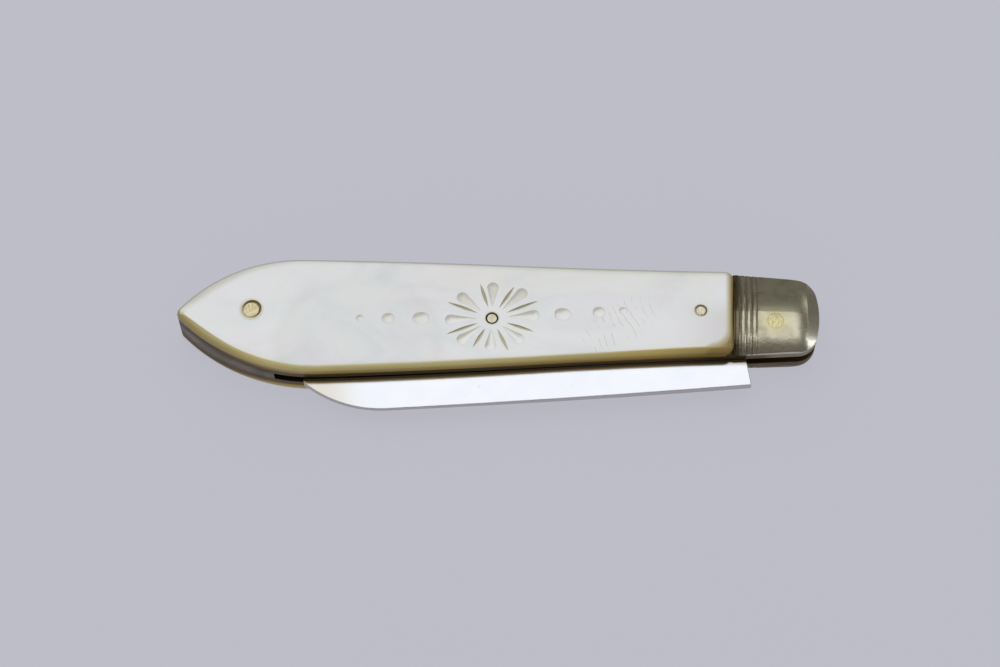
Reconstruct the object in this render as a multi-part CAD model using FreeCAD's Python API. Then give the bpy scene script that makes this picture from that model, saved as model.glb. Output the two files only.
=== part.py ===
import FreeCAD, Part
import math
import os

from FreeCAD import Vector

# A slip-joint folding fruit knife, closed and lying on its rear scale, in millimetres.
# X runs along the handle, from the point at minus X to the bolsters at plus X, zero at mid-length.
# Y is zero on the handle's axis, with the back spring at plus Y and the blade at minus Y.
# Z is zero on the outer face of the rear scale.

# Handle in plan
HANDLE_LENGTH = 82.0
POINT_LENGTH = 16.0
BLADE_SIDE_POINT_LENGTH = 18.2
POINT_RADIUS = 1.0
POINT_OFFSET = 0.3
BUTT_WIDTH = 15.65
NECK_WIDTH = 11.4
CAP_WIDTH = 9.8
CAP_OFFSET = -0.4
CAP_BULGE = 0.9
CAP_CORNER_RADIUS = 2.6
SIDE_BOW = 0.1
BOLSTER_LENGTH = 11.0

# Handle in thickness: scale, liner, well, liner, scale
SCALE_THICKNESS = 1.7
LINER_THICKNESS = 0.95
WELL_WIDTH = 1.6

# Pearl scales
SCALE_EDGE_RADIUS = 0.75
SCALE_CORNER_RADIUS = 1.1

# Bolsters: a turned dome with reeds at its neck, whose crown falls and then rolls off at the end
BOLSTER_RISE = 1.6
BOLSTER_EDGE = 0.3
NECK_LAND = 0.15
REED_COUNT = 4
REED_PITCH = 0.72
REED_DEPTH = 0.12
CROWN_LENGTH = 4.0
CROWN_DROP = 0.42
CREASE_SETBACK = 1.55
ROLL_LENGTH = 1.8
ROLL_DROP = 1.0

# Pins and rivets
PIVOT_SETBACK = 5.75
PIVOT_OFFSET = -1.43
PIVOT_RADIUS = 1.0
BUTT_PIN_SETBACK = 9.5
BUTT_PIN_OFFSET = 0.54
BUTT_PIN_RADIUS = 1.0
CENTRE_PIN_X = -0.82
CENTRE_PIN_WALL = 0.63
CENTRE_PIN_RADIUS = 0.62
RIVET_SETBACK = 4.2
RIVET_RADIUS = 0.6
PIN_RECESS = 0.06

# Clearances
FIT_GAP = 0.02
PEARL_HOLE_GAP = 0.2
RUNNING_GAP = 0.04
BLADE_SIDE_GAP = 0.05
TANG_GAP = 0.03
STOP_GAP = 0.05
EDGE_CLEARANCE = 0.5

# Blade: tang, shoulder, spine, point and edge, measured from the pivot when closed
TANG_HALF_DEPTH = 3.0
TANG_BUTT = 3.0
TANG_CORNER_RADIUS = 1.0
SHOULDER_REACH = 3.9
SHOULDER_LEAN = 0.7
SPINE_PROUD_AT_SHOULDER = 3.5
SPINE_PROUD_AT_CLIP = 4.5
SPINE_BOW = 0.18
CLIP_LENGTH = 11.0
TIP_PROUD = 0.15
TIP_RADIUS = 0.5
TIP_TO_WELL_END = 3.4
EDGE_CURVE_LENGTH = 15.0
BLADE_DEPTH = 8.5
HEEL_REACH = 5.6
HEEL_DEPTH = 0.6
KICK_REACH = 4.9
PLUNGE_LENGTH = 6.0
RIDGE_INSET = 0.3
SPINE_FALL_SHARE = 0.05
TIP_THICKNESS = 1.0
EDGE_THICKNESS = 0.2
WEDGE_MARGIN = 0.2

# Back spring
WELL_START = 12.4
ARM_DEPTH = 2.6
BELLY_PAST_PIN = 2.2
BELLY_RAMP = 6.0
NOSE_BACK = 3.4
NOSE_RAMP = 1.2
SPRING_FILLET = 0.8

# Cuts run past what they cut by this much
OVERRUN = 2.0
# Two places closer than this are one place
SAME_PLACE = 0.001

UP = Vector(0, 0, 1)

# Stations along the handle and levels up through it
x_tip = -HANDLE_LENGTH / 2
x_cap = HANDLE_LENGTH / 2
x_neck = x_cap - BOLSTER_LENGTH
x_well_end = x_tip + WELL_START
z_well = SCALE_THICKNESS + LINER_THICKNESS
z_roof = z_well + WELL_WIDTH
z_scale = z_roof + LINER_THICKNESS
z_top = z_scale + SCALE_THICKNESS
z_middle = z_top / 2

# The bolsters lie along a line from the middle of the neck to the middle of the cap
neck_middle = Vector(x_neck, 0, 0)
cap_middle = Vector(x_cap, CAP_OFFSET, 0)
bolster_way = (cap_middle - neck_middle).normalize()

# Places of the pins in plan
pivot = Vector(x_cap - PIVOT_SETBACK, PIVOT_OFFSET, 0)
butt_pin_place = Vector(x_tip + BUTT_PIN_SETBACK, BUTT_PIN_OFFSET, 0)
rivet_place = Vector(x_neck - RIVET_SETBACK, 0, 0)


def arc(start, middle, end):
    return Part.Arc(start, middle, end).toShape()


def line(start, end):
    return Part.LineSegment(start, end).toShape()


def across(direction):
    """The direction turned a quarter turn anticlockwise in plan."""
    return Vector(-direction.y, direction.x, 0)


def arc_leaving(start, direction, end):
    """The arc that leaves start along the direction and ends at end."""
    chord = end - start
    normal = across(direction)
    radius = chord.dot(chord) / (2 * chord.dot(normal))
    centre = start + normal * radius
    outward = (start - centre) + (end - centre)
    return arc(start, centre + outward.normalize() * abs(radius), end)


def bowed(start, end, bow):
    """The arc from start to end whose middle stands out to the left of the way by the bow."""
    way = (end - start).normalize()
    return Part.ArcOfCircle(start, (start + end) / 2 + across(way) * bow, end)


def prism(edges, low, high):
    """An upright solid over the plan that the edges enclose."""
    face = Part.Face(Part.Wire(edges))
    face.translate(UP * low)
    return face.extrude(UP * (high - low))


def polygon(points):
    return [line(a, b) for a, b in zip(points, points[1:] + points[:1])]


def round_uprights(solid, places, radius):
    """Rounds the upright edges that stand at the places in plan."""
    picked = []
    for edge in solid.Edges:
        box = edge.BoundBox
        upright = max(box.XLength, box.YLength) < SAME_PLACE
        if upright and any(math.hypot(box.XMin - p.x, box.YMin - p.y) < SAME_PLACE for p in places):
            picked.append(edge)
    return solid.makeFillet(radius, picked)


def cylinder(place, radius, low, high):
    return Part.makeCylinder(radius, high - low, place + UP * low, UP)


def to_rear(shape):
    """The same piece on the rear side of the handle."""
    return shape.mirror(UP * z_middle, UP)


def along_bolsters(shape):
    """The shape turned about the middle of the neck, from along the handle to along the bolsters."""
    return shape.rotated(neck_middle, UP, math.degrees(math.atan2(bolster_way.y, bolster_way.x)))


# Handle plan

def neck_corner(side):
    return neck_middle + across(bolster_way) * (side * NECK_WIDTH / 2)


def cap_corner(side):
    return cap_middle - bolster_way * CAP_BULGE + across(bolster_way) * (side * CAP_WIDTH / 2)


def widest_x(side):
    """The station where the point begins, which lies further along on the blade's side."""
    return x_tip + (POINT_LENGTH if side > 0 else BLADE_SIDE_POINT_LENGTH)


def side_arcs(side):
    """The side from the widest place to the neck: it swells, then draws in, with no kink between."""
    start, end = Vector(widest_x(side), side * BUTT_WIDTH / 2, 0), neck_corner(side)
    middle = (start + end) / 2
    return bowed(start, middle, side * SIDE_BOW), bowed(middle, end, -side * SIDE_BOW)


def half_width(x):
    """Half the handle's width between the widest place and the neck, taken on the spring's side."""
    swell, waist = side_arcs(1)
    circle, sign = (swell, 1) if x < (widest_x(1) + neck_corner(1).x) / 2 else (waist, -1)
    return circle.Center.y + sign * math.sqrt(circle.Radius ** 2 - (x - circle.Center.x) ** 2)


def bolster_edge(x, side):
    """The handle's edge in the straight stretch beside the bolsters."""
    near, far = neck_corner(side), cap_corner(side)
    return near.y + (far.y - near.y) * (x - near.x) / (far.x - near.x)


def ogive(side):
    """The arc from the widest place to the round point, tangent to both: its two ends and its middle."""
    side_line = side_arcs(side)[0]
    start = side_line.value(side_line.FirstParameter)
    inward = across(side_line.tangent(side_line.FirstParameter)[0]) * -side
    point_centre = Vector(x_tip + POINT_RADIUS, POINT_OFFSET, 0)
    away = start - point_centre
    radius = (POINT_RADIUS ** 2 - away.dot(away)) / (2 * (away.dot(inward) + POINT_RADIUS))
    centre = start + inward * radius
    end = centre + (point_centre - centre).normalize() * radius
    middle = centre + ((start - centre) + (end - centre)).normalize() * radius
    return start, middle, end


def handle_prism(low, high):
    """The whole handle's plan between two levels."""
    high_side, low_side = ogive(1), ogive(-1)
    edges = [
        arc(low_side[2], Vector(x_tip, POINT_OFFSET, 0), high_side[2]),
        arc(high_side[2], high_side[1], high_side[0]),
        *[half.toShape() for half in side_arcs(1)],
        line(neck_corner(1), cap_corner(1)),
        arc(cap_corner(1), cap_middle, cap_corner(-1)),
        line(cap_corner(-1), neck_corner(-1)),
        *[half.toShape() for half in reversed(side_arcs(-1))],
        arc(low_side[0], low_side[1], low_side[2]),
    ]
    solid = prism(edges, low, high)
    return round_uprights(solid, [cap_corner(1), cap_corner(-1)], CAP_CORNER_RADIUS)


def slab(x_low, x_high):
    """A box over everything between two stations along the handle."""
    reach = BUTT_WIDTH
    corner = Vector(x_low, -reach, -OVERRUN)
    return Part.makeBox(x_high - x_low, 2 * reach, z_top + 2 * OVERRUN, corner)


# Bolsters

dome_drop = BOLSTER_RISE - BOLSTER_EDGE
dome_radius = ((NECK_WIDTH / 2) ** 2 + dome_drop ** 2) / (2 * dome_drop)
dome_z = z_scale + BOLSTER_RISE - dome_radius


def dome_point(x, radius):
    return Vector(x, 0, dome_z + radius)


def turned_end():
    """The end of the bolster's profile: the crown falls along an arc to a crease, then rolls off."""
    x_crown, x_crease = x_cap - CROWN_LENGTH, x_cap - CREASE_SETBACK
    run = x_crease - x_crown
    curve = (run ** 2 + CROWN_DROP ** 2) / (2 * CROWN_DROP)
    fall = curve - math.sqrt(curve ** 2 - (run / 2) ** 2)
    crown = dome_point(x_crown, dome_radius)
    crease = dome_point(x_crease, dome_radius - CROWN_DROP)
    foot = dome_point(x_crease + ROLL_LENGTH, dome_radius - CROWN_DROP - ROLL_DROP)
    falling = arc(crown, dome_point(x_crown + run / 2, dome_radius - fall), crease)
    return crown, [falling, line(crease, foot)], foot


def turned_dome():
    """The front bolster's turned form about one axis along it: land, reeds, dome and rolled end."""
    groove = dome_radius - REED_DEPTH
    x = x_neck + NECK_LAND
    edges = [
        line(dome_point(x_neck, 0), dome_point(x_neck, groove)),
        line(dome_point(x_neck, groove), dome_point(x, groove)),
    ]
    for _ in range(REED_COUNT):
        middle = dome_point(x + REED_PITCH / 2, dome_radius)
        edges.append(arc(dome_point(x, groove), middle, dome_point(x + REED_PITCH, groove)))
        x += REED_PITCH
    shelf, plain = dome_point(x, dome_radius - REED_DEPTH / 2), dome_point(x + REED_PITCH / 2, dome_radius)
    crown, end_edges, foot = turned_end()
    out = dome_point(x_cap + OVERRUN, foot.z - dome_z)
    axis_end = dome_point(x_cap + OVERRUN, 0)
    edges += [line(dome_point(x, groove), shelf), line(shelf, plain), line(plain, crown), *end_edges]
    edges += [line(foot, out), line(out, axis_end), line(axis_end, dome_point(x_neck, 0))]
    profile = Part.Face(Part.Wire(edges))
    return along_bolsters(profile.revolve(dome_point(x_neck, 0), Vector(1, 0, 0), 360))


def front_bolster():
    blank = handle_prism(z_scale, z_scale + BOLSTER_RISE + OVERRUN)
    body = blank.common(turned_dome())
    return body.cut(cylinder(pivot, PIVOT_RADIUS + FIT_GAP, z_well, z_top + OVERRUN))


# Pearl scales

def front_scale():
    """The pearl plate, with its outer edges rounded and its pin holes."""
    body = handle_prism(z_scale, z_top).common(along_bolsters(slab(x_tip - OVERRUN, x_neck)))
    body = round_uprights(body, [neck_corner(1), neck_corner(-1)], SCALE_CORNER_RADIUS)
    rim = [edge for edge in body.Edges if edge.BoundBox.ZMin > z_top - SAME_PLACE]
    body = body.makeFillet(SCALE_EDGE_RADIUS, rim)
    for place, radius in (
        (butt_pin_place, BUTT_PIN_RADIUS),
        (centre_pin_place, CENTRE_PIN_RADIUS),
        (rivet_place, RIVET_RADIUS),
    ):
        body = body.cut(cylinder(place, radius + PEARL_HOLE_GAP, z_scale - OVERRUN, z_top + OVERRUN))
    return body


# Liners

def front_liner():
    body = handle_prism(z_roof, z_scale)
    for place, radius in (
        (butt_pin_place, BUTT_PIN_RADIUS),
        (centre_pin_place, CENTRE_PIN_RADIUS),
        (rivet_place, RIVET_RADIUS),
        (pivot, PIVOT_RADIUS),
    ):
        body = body.cut(cylinder(place, radius + FIT_GAP, z_roof - OVERRUN, z_scale + OVERRUN))
    return body


# Blade, drawn closed

def on_blade(u, v):
    """A place on the closed blade: u from the pivot to the tip, v from the pivot to the spine."""
    return pivot - Vector(u, v, 0)


x_shoulder = pivot.x - SHOULDER_REACH + SHOULDER_LEAN
spine_start = Vector(x_shoulder, bolster_edge(x_shoulder, -1) - SPINE_PROUD_AT_SHOULDER, 0)
blade_tip_x = x_well_end + TIP_TO_WELL_END
blade_tip = Vector(blade_tip_x, -half_width(blade_tip_x) - TIP_PROUD, 0)
clip_x = blade_tip_x + CLIP_LENGTH
clip_start = Vector(clip_x, -half_width(clip_x) - SPINE_PROUD_AT_CLIP, 0)
heel = on_blade(HEEL_REACH, -HEEL_DEPTH)


def spine_y(x):
    """The straight line along the spine, carried on to the tip."""
    slope = (clip_start.y - spine_start.y) / (clip_start.x - spine_start.x)
    return spine_start.y + slope * (x - spine_start.x)


edge_bend_x = blade_tip_x + EDGE_CURVE_LENGTH
edge_bend = Vector(edge_bend_x, spine_y(edge_bend_x) + BLADE_DEPTH, 0)


def edge_y(x):
    """The straight line along the cutting edge, carried on to the tip."""
    slope = (edge_bend.y - heel.y) / (edge_bend.x - heel.x)
    return heel.y + slope * (x - heel.x)


# The centre pin passes the blade's edge with a wall of the spring between them
centre_pin_y = edge_y(CENTRE_PIN_X) + EDGE_CLEARANCE + CENTRE_PIN_WALL + FIT_GAP + CENTRE_PIN_RADIUS
centre_pin_place = Vector(CENTRE_PIN_X, centre_pin_y, 0)


def blade_outline():
    spine = bowed(spine_start, clip_start, SPINE_BOW)
    spine_way = spine.tangent(spine.LastParameter)[0]
    edge_way = (edge_bend - heel).normalize()
    butt_back = on_blade(-TANG_BUTT, TANG_HALF_DEPTH)
    butt_edge = on_blade(-TANG_BUTT, -TANG_HALF_DEPTH)
    shoulder = on_blade(SHOULDER_REACH, TANG_HALF_DEPTH)
    kick = on_blade(KICK_REACH, -TANG_HALF_DEPTH)
    return [
        line(butt_back, shoulder),
        line(shoulder, spine_start),
        spine.toShape(),
        arc_leaving(clip_start, spine_way, blade_tip),
        arc_leaving(edge_bend, edge_way, blade_tip),
        line(edge_bend, heel),
        line(heel, kick),
        line(kick, butt_edge),
        line(butt_edge, butt_back),
    ]


def ridge_y(x):
    """The line where the blade is thickest: just outside the tang, and just inside the handle at the tip."""
    start = pivot.y - TANG_HALF_DEPTH - RIDGE_INSET
    end = -half_width(blade_tip_x) + RIDGE_INSET
    return start + (end - start) * (x - pivot.x) / (blade_tip_x - pivot.x)


def blade_section(x, edge, thickness, edge_thickness):
    """The blade's cross-section at a station: thickest at the ridge, thinner at the spine and the edge."""
    spine, ridge = spine_y(x) - SPINE_BOW - WEDGE_MARGIN, ridge_y(x)
    spine_thickness = thickness - 2 * SPINE_FALL_SHARE * (ridge - spine)
    upper = [(spine, spine_thickness), (ridge, thickness), (edge + WEDGE_MARGIN, edge_thickness)]
    corners = [Vector(x, y, z_middle + thick / 2) for y, thick in upper]
    corners += [Vector(x, y, z_middle - thick / 2) for y, thick in reversed(upper)]
    return Part.Wire(polygon(corners))


def blade():
    thickness = WELL_WIDTH - 2 * BLADE_SIDE_GAP
    x_butt = pivot.x + TANG_BUTT + OVERRUN
    x_plunge = heel.x - PLUNGE_LENGTH
    x_out = blade_tip_x - OVERRUN
    tang_edge = pivot.y + TANG_HALF_DEPTH
    sections = [
        blade_section(x_butt, tang_edge, thickness, thickness),
        blade_section(heel.x, tang_edge, thickness, thickness),
        blade_section(x_plunge, edge_y(x_plunge), thickness, EDGE_THICKNESS),
        blade_section(x_out, edge_y(x_out), TIP_THICKNESS, EDGE_THICKNESS),
    ]
    wedge = Part.makeLoft(sections, True, True)
    plate = prism(blade_outline(), z_well - OVERRUN, z_roof + OVERRUN)
    tang_corners = [on_blade(-TANG_BUTT, TANG_HALF_DEPTH), on_blade(-TANG_BUTT, -TANG_HALF_DEPTH)]
    plate = round_uprights(plate, tang_corners, TANG_CORNER_RADIUS)
    plate = round_uprights(plate, [blade_tip], TIP_RADIUS)
    hole = cylinder(pivot, PIVOT_RADIUS + RUNNING_GAP, z_well - OVERRUN, z_roof + OVERRUN)
    return plate.common(wedge).cut(hole)


# Back spring

def stop_x(y):
    """The spring's end face, along the open blade's shoulder less the stop gap."""
    base = pivot + Vector(SHOULDER_REACH, TANG_HALF_DEPTH, 0)
    lean = -SHOULDER_LEAN / (pivot.y - spine_start.y - TANG_HALF_DEPTH)
    return base.x - STOP_GAP + lean * (y - base.y)


def back_spring():
    """The spring fills the handle's point, carries the two pins and reaches over the tang as a thin arm."""
    far = BUTT_WIDTH
    nose_y = pivot.y + TANG_HALF_DEPTH + TANG_GAP
    x_belly = centre_pin_place.x + BELLY_PAST_PIN
    x_arm = x_belly + BELLY_RAMP
    x_nose = pivot.x - NOSE_BACK
    well_corner = Vector(x_well_end, edge_y(x_well_end) + EDGE_CLEARANCE, 0)
    belly_end = Vector(x_belly, edge_y(x_belly) + EDGE_CLEARANCE, 0)
    arm_start = Vector(x_arm, half_width(x_arm) - ARM_DEPTH, 0)
    arm_end = Vector(x_nose - NOSE_RAMP, half_width(x_nose - NOSE_RAMP) - ARM_DEPTH, 0)
    nose_start = Vector(x_nose, nose_y, 0)
    well = [
        Vector(x_well_end, -far, 0),
        well_corner,
        belly_end,
        arm_start,
        arm_end,
        nose_start,
        Vector(stop_x(nose_y), nose_y, 0),
        Vector(stop_x(far), far, 0),
        Vector(x_cap + OVERRUN, far, 0),
        Vector(x_cap + OVERRUN, -far, 0),
    ]
    body = handle_prism(z_well, z_roof).cut(prism(polygon(well), z_well - OVERRUN, z_roof + OVERRUN))
    body = round_uprights(body, [well_corner, belly_end, arm_start, arm_end, nose_start], SPRING_FILLET)
    for place, radius in ((butt_pin_place, BUTT_PIN_RADIUS), (centre_pin_place, CENTRE_PIN_RADIUS)):
        body = body.cut(cylinder(place, radius + FIT_GAP, z_well - OVERRUN, z_roof + OVERRUN))
    return body


# Pins and rivets

def through_pin(place, radius):
    """A pin from scale to scale, a little below both faces."""
    return cylinder(place, radius, PIN_RECESS, z_top - PIN_RECESS)


def front_scale_rivet():
    """A short rivet that holds a scale to its liner, clear of the well."""
    return cylinder(rivet_place, RIVET_RADIUS, z_roof, z_top - PIN_RECESS)


def pivot_pin():
    """The blade's pin, with its ends filed flush with the domed bolsters."""
    rod = cylinder(pivot, PIVOT_RADIUS, -OVERRUN, z_top + OVERRUN)
    dome = turned_dome()
    return rod.common(dome).common(to_rear(dome))


def pieces():
    """Every piece by name."""
    scale, liner, bolster, rivet = front_scale(), front_liner(), front_bolster(), front_scale_rivet()
    return {
        "front_scale": scale,
        "rear_scale": to_rear(scale),
        "front_liner": liner,
        "rear_liner": to_rear(liner),
        "front_bolster": bolster,
        "rear_bolster": to_rear(bolster),
        "blade": blade(),
        "back_spring": back_spring(),
        "pivot_pin": pivot_pin(),
        "centre_pin": through_pin(centre_pin_place, CENTRE_PIN_RADIUS),
        "butt_pin": through_pin(butt_pin_place, BUTT_PIN_RADIUS),
        "front_scale_rivet": rivet,
        "rear_scale_rivet": to_rear(rivet),
    }


os.makedirs("parts", exist_ok=True)
for name, shape in pieces().items():
    shape.exportStep(os.path.join("parts", name + ".step"))
    print(name, "solids", len(shape.Solids), "valid", shape.isValid(), "volume", round(shape.Volume, 3))
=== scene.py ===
import math

import bmesh
import bpy
from mathutils import Matrix, Vector


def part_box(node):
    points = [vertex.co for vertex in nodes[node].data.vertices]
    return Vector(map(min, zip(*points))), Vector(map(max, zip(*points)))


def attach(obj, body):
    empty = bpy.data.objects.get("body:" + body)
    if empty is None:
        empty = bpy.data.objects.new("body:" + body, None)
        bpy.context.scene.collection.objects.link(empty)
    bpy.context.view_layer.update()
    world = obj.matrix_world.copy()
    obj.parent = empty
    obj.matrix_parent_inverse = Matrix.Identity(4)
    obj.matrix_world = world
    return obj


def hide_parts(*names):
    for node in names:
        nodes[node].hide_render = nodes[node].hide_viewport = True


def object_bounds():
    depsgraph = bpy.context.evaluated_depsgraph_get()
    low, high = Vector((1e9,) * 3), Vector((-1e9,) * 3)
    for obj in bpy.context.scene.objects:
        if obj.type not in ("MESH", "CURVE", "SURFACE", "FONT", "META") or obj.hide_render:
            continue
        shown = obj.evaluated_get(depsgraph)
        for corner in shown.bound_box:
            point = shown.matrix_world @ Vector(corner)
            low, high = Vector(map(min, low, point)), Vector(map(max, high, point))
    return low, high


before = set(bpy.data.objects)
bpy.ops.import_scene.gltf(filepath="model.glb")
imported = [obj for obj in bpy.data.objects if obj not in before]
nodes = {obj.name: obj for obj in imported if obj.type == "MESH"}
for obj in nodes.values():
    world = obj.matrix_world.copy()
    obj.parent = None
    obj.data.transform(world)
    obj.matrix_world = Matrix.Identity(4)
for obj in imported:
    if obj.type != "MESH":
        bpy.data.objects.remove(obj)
cad_low, cad_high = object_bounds()

MM = 0.001
UP = Vector((0.0, 0.0, 1.0))

# Camera, in millimetres and degrees, as found by laying the solids' edges over the photograph
CAMERA_ELEVATION = 65.0
CAMERA_DISTANCE = 330.0
CAMERA_TARGET = (0.19, -3.085, 6.9)
CAMERA_ROLL = -0.35
CAMERA_NEAR = 10.0
CAMERA_FAR = 20000.0
VIEW_WIDTH = 126.85
SENSOR_WIDTH = 36.0

# Places and sizes on the handle that the looks follow, in millimetres, and the count of the reeds
WIDEST_FROM_POINT = 16.0
WIDEST_ON_BLADE_SIDE = 18.2
NECK_HALF_WIDTH = 5.7
BOLSTER_LENGTH = 11.0
CAP_OFFSET = -0.4
REED_PITCH = 0.72
REED_START = 0.15
REED_COUNT = 4

# Figure and cracks in the pearl, in millimetres, with the way of the cracks' belt and the way across them
FIGURE_CENTRE = (-17.6, -4.6)
FIGURE_RADII = (10.8, 9.9)
CRACK_CENTRE = (16.1, -1.4)
CRACK_BELT = (0.79, 0.61, 0.0)
CRACK_REACH = 7.4
CRACK_HALF_WIDTH = 3.1
CRACK_SPACING = 0.9
CRACK_ACROSS = (0.91, 0.41, 0.0)

# Carving in the front scale, in millimetres
# Each cut of the flower has an angle in degrees and a share of the flower's reach
FLOWER_HALF_LENGTH = 6.05
FLOWER_HALF_WIDTH = 4.85
PETALS = ((4, 1.01), (42, 1.09), (88, 1.04), (142, 1.0), (182, 0.99), (218, 1.0), (267, 0.94), (319, 0.95))
PETAL_HALF_WIDTH = 0.74
PETAL_DEPTH = 0.32
PETAL_START_SHARE = 0.3
VEINS = (
    (22, 1.1), (57, 1.04), (107, 1.04), (158, 1.06), (201, 1.08), (239, 0.94), (294, 1.02), (340, 0.98))
VEIN_HALF_WIDTH = 0.2
VEIN_DEPTH = 0.2
VEIN_START_SHARE = 0.32
CUT_RUN_OUT = 0.012
CUT_POINT_SHARE = 0.001
LEFT_DOT_DISTANCES = (9.0, 13.2, 16.8)
RIGHT_DOT_DISTANCES = (9.0, 13.6, 16.7)
DOT_HALF_LENGTHS = (1.15, 0.85, 0.54)
DOT_HALF_WIDTHS = (0.86, 0.74, 0.5)
DOT_DEPTHS = (0.3, 0.26, 0.16)
DOT_WALL_SHARE = 0.85
LEFT_ROW_RISE_SHARE = -0.005
RIGHT_ROW_RISE_SHARE = 0.055

# Worn corner of the front scale beside the bolster
# How far it goes back from the corner, in millimetres, and the tilts, in degrees, that round it
WORN_ALONG = 1.9
WORN_ACROSS = 5.0
WORN_RADIUS = 2.0
WORN_TILTS = (8, 16, 24, 32, 40, 48)
WORN_TOOL = 8.0

# Brown band along the pearl's end, in millimetres
# Its width at the end and at the side, its inner corner's radius, and how far the far side is kept off
END_BAND = 0.72
SIDE_BAND = 0.95
BAND_RADIUS = 2.2
BAND_FAR_SHIFT = 10.0

# Dirt round the pins in the pearl, in millimetres, and the way that the butt's hole was drilled off its pin
HOLE_GAP = 0.2
HOLE_SLIP = 0.16
HOLE_SLIP_ANGLE = 45
DIRT_CLEARANCE = 0.005
BUTT_DIRT_DEPTH = 0.17
BUTT_DIRT_SWING = 0.13
RIVET_DIRT_DEPTH = 0.09
RIVET_DIRT_SWING = 0.03

# Mesh fineness of the rings and of the carving tools, which are finer below the face
RING_STEPS = 64
GOUGE_LOWER_SIDES = 44
GOUGE_UPPER_SIDES = 8
GOUGE_STATIONS = 24

# Welding distance in millimetres, angle of sharp edges in degrees, and weight of large faces in shading
WELD_DISTANCE = 0.0005
SHARP_ANGLE = 25
AREA_WEIGHT = 100

# The way, in plan, that the shaded walls of the cuts face
SHADED_WAY = (0.5, -0.85, 0.0)

# Places of the cuts' materials on the carved scale, after the face's
HOLLOW, VEIN = 1, 2

# Stretches over which a look changes, in millimetres, each from its first value to its second
# RIM is counted in from the handle's side, NECK past the neck, TIP from a point, HEIGHT up from the liner
# BAND is counted out through the brown band, WAY along the slip, and X, Y and Z along the axes
WARM_X = (-14.0, -4.0)
WARM_Y = (1.0, 4.5)
YELLOW_RIM = (1.3, 0.2)
FAR_SHADE_RIM = (1.1, -0.1)
FAR_SHADE_Y = (0.0, 2.0)
BEVEL_RIM = (0.5, 0.2)
BEVEL_Y = (0.5, -0.3)
POINT_BEVEL_TIP = (8.5, 1.0)
NECK_BEVEL_NECK = (-18.0, -3.0)
GRIMY_HEIGHT = (1.15, 0.25)
GRIMY_X = (-24.0, -38.0)
END_SHADE_NECK = (-9.0, -0.5)
END_SHADE_Y = (2.5, -1.0)
TAN_BAND = (-0.5, 0.25)
BROWN_BAND = (0.1, 0.85)
BAND_ENDING_NECK = (-2.5, -6.0)
TO_BLADE_SIDE_Y = (1.0, -1.0)
TO_SPRING_SIDE_Y = (-1.0, 1.0)
DARKER_CUTS_X = (-7.0, -12.0)
SHADED_CUTS_Y = (-0.9, 2.6)
BRIM_Z = (-0.08, -0.01)
REED_SIDES_Y = (1.0, 3.5)
LOWER_HALF_Z = (0.0, -0.4)
WARM_BLADE_TIP = (9.0, 2.0)
HANDLE_REFLECTION_RIM = (-1.0, -0.3)
LIT_LINER_NECK = (-1.0, -8.0)
LIT_LINER_X = (-27.0, -20.0)
POLISHED_LINER_NECK = (3.5, 5.5)
FLUSH_DIRT_WAY = (0.1, -0.9)

# Stretches counted in radii of a pin or of the figure, or in shares of the cracks' spacing or reach
STAINED_RADII = (1.75, 1.2)
RUBBED_RADII = (2.4, 1.0)
ROUNDED_RADII = (1.2, 1.5)
FIGURE_INSIDE_RADII = (1.18, 1.04)
FIGURE_RIM_START_RADII = (0.9, 1.08)
FIGURE_RIM_END_RADII = (1.22, 1.09)
FIGURE_WANDER_RADII = 0.22
HAIRLINE_SHARES = (0.065, 0.02)
SWAY_SHARE = 1.2
FADING_CRACK_SHARES = (-0.2, 0.7)

# Stretches of the surface's slant: UPWARD is how squarely it faces up or down, FACING how far some way
WALL_UPWARD = (0.997, 0.8)
GLOSSY_UPWARD = (0.3, 0.7)
BOLSTER_WALL_UPWARD = (0.9, 0.6)
PIN_SIDE_UPWARD = (0.9, 0.5)
FAR_WALL_FACING = (0.05, 0.4)
NEAR_SLOPE_FACING = (-0.18, -0.34)
BLADE_BACK_FACING = (-0.45, -0.85)
SHADED_FACING = (0.1, 0.42)

# Middle part of a noise's values, where most of them lie
NOISE_MIDDLE = (0.3, 0.7)

# Other places and widths that the looks use, in millimetres
POINT_BEVEL = 0.4
NECK_BEVEL = 0.28
PALE_LAYERS_DEPTH = 0.6
REED_TOP_Y = -0.5

# Sizes of the looks' grain, in millimetres
PEARL_CLOUD = 9.0
PEARL_TINT = 5.0
PEARL_LAYER = 0.35
PEARL_RIPPLE = 3.0
FIGURE_WANDER = 6.0
CRACK_SWAY = 2.2
CRACK_BREAK = 1.7
CUT_GRAIN = 0.35
BOLSTER_CLOUD = 1.5
BOLSTER_SCRATCH = 0.12
BOLSTER_DENT = 0.5
REED_PATCH = 0.6
BLADE_CLOUD = 2.6
BLADE_BRUSHING = 0.10
METAL_BLOTCH = 2.2
SPRING_STREAK = 0.16
LINER_STREAK = 0.18
PIN_MARK = 0.16
DIRT_GRAIN = 0.12
FLOOR_CLOUD = 40.0

# Specks: their spacing and radius, in millimetres, and the share of the places that have one
# Each kind of pin has a share of its own, given with its colours
PEARL_SPECKS = (4.2, 0.16, 0.4)
BOLSTER_PITS = (0.55, 0.09, 0.3)
BLADE_STAINS = (3.0, 0.3, 0.25)
PIN_PITS = (0.42, 0.1)
SPECK_CORE_SHARE = 0.4

# Depth of the looks' relief and rounding of the edges, in millimetres
PEARL_RELIEF = 0.012
PEARL_ROUNDING = 0.08
CUT_RELIEF = 0.01
CUT_ROUNDING = 0.05
BOLSTER_RELIEF = 0.012
BOLSTER_ROUNDING = 0.16
BLADE_RELIEF = 0.008
BLADE_ROUNDING = 0.2
METAL_RELIEF = 0.012
METAL_ROUNDING = 0.06
PIN_RELIEF = 0.014
PIN_ROUNDING = 0.1
DIRT_RELIEF = 0.03
DIRT_ROUNDING = 0.03
ROUNDING_SAMPLES = 6

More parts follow.
